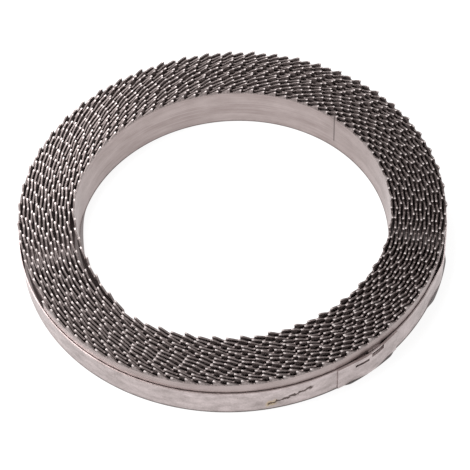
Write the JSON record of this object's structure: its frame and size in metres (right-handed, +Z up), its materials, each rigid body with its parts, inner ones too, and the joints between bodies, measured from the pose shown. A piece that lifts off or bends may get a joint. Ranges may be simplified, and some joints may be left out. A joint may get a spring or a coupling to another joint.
{
  "type": "band saw blade",
  "caption": "Flat spiral coil of toothed steel band saw blade stock, teeth up, held round its outside by a narrow steel strap with a keyed lap lock.",
  "frame": {"origin": "on the surface the coil lies on, under the middle of the strap's circle, which is the centre of the whole object's base", "axes": "+Z up, across the blade's width, from the coil's back edges to the tooth tips; -Y is the side nearest the camera in the picture and +X is its right"},
  "size_m": [0.2264, 0.2264, 0.025],
  "materials": {
    "blade_steel": "cold-rolled spring steel, pinkish grey and softly brushed along its length, bare and bright on its toothed edge",
    "strap_steel": "plain packing strap steel, satin grey with brown rust stains"
  },
  "bodies": {
    "root": {"blade_coil": "blade_steel", "binding_strap": "strap_steel"}
  },
  "joints": []
}
